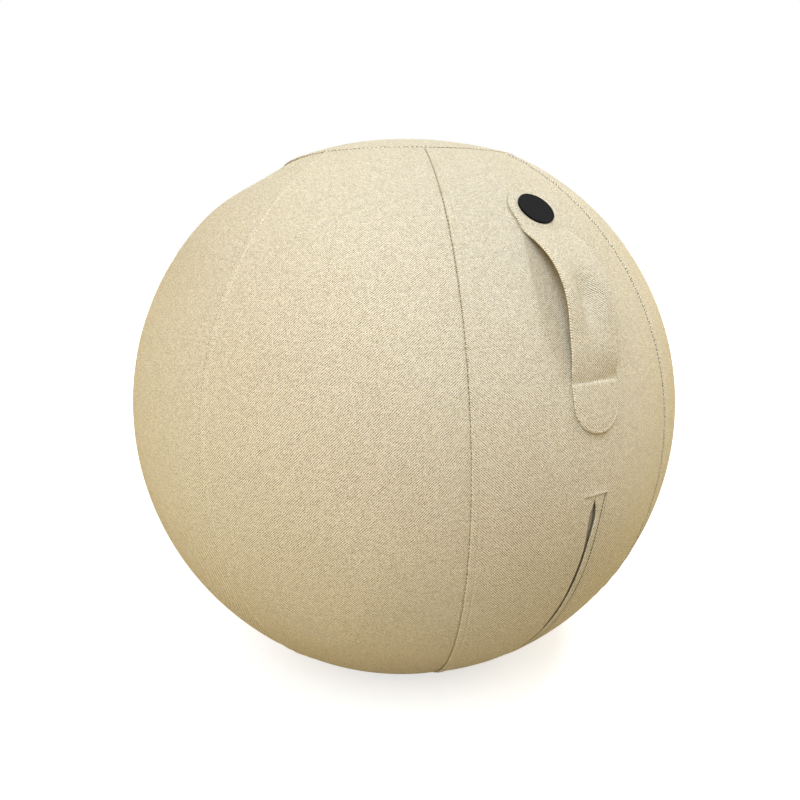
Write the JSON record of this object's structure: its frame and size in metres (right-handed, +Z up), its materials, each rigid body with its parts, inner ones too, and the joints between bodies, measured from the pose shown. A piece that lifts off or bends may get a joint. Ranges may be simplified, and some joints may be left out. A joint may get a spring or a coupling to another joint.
{
  "type": "sitting ball",
  "caption": "Air-filled sitting ball in a sewn fabric cover with a bowed strap handle, a plain round badge and a hidden zip.",
  "frame": {"origin": "on the floor under the middle of the ball", "axes": "+Z up along the ball's axis, -Y towards the handle and the zip, +X to the right seen from the handle's side"},
  "size_m": [0.6498, 0.6513, 0.6162],
  "materials": {
    "cover_fabric": "matt twill, cream and beige",
    "base_fabric": "coarse non-slip fabric",
    "thread": "polyester sewing thread",
    "inner_skin": "soft satin skin",
    "valve_plastic": "smooth white",
    "zip_tape": "woven tape",
    "zip_plastic": "moulded, beige",
    "zip_metal": "dull painted zinc",
    "badge_plastic": "satin black"
  },
  "bodies": {
    "ball": {"front_panel": "cover_fabric", "side_panel_2": "cover_fabric", "side_panel_3": "cover_fabric", "side_panel_4": "cover_fabric", "side_panel_5": "cover_fabric", "side_panel_6": "cover_fabric", "side_panel_7": "cover_fabric", "side_panel_8": "cover_fabric", "top_panel": "cover_fabric", "base_panel": "base_fabric", "seam_threads": "thread", "top_seam_thread": "thread", "base_seam_thread": "thread", "inner_ball": "inner_skin", "valve_seat": "inner_skin", "valve_plug": "valve_plastic", "zip_lip_left": "cover_fabric", "zip_lip_right": "cover_fabric", "zip_tape_left": "zip_tape", "zip_tape_right": "zip_tape", "zip_teeth_left": "zip_plastic", "zip_teeth_right": "zip_plastic", "zip_top_stop": "zip_plastic", "zip_end_stop": "zip_plastic", "handle_strap": "cover_fabric", "handle_badge": "badge_plastic"},
    "slider": {"zip_slider": "zip_metal"},
    "pull": {"zip_pull": "zip_metal"}
  },
  "joints": [
    {"name": "zip_slider_travel", "type": "hinge", "parent": "ball", "child": "slider", "pos_m": [0, 0, 0.30527], "axis": [1, 0, 0], "range_deg": [0, 49]},
    {"name": "zip_pull_flip", "type": "hinge", "parent": "slider", "child": "pull", "pos_m": [0, -0.31907, 0.26498], "axis": [-1, 0, 0], "range_deg": [0, 110]}
  ]
}
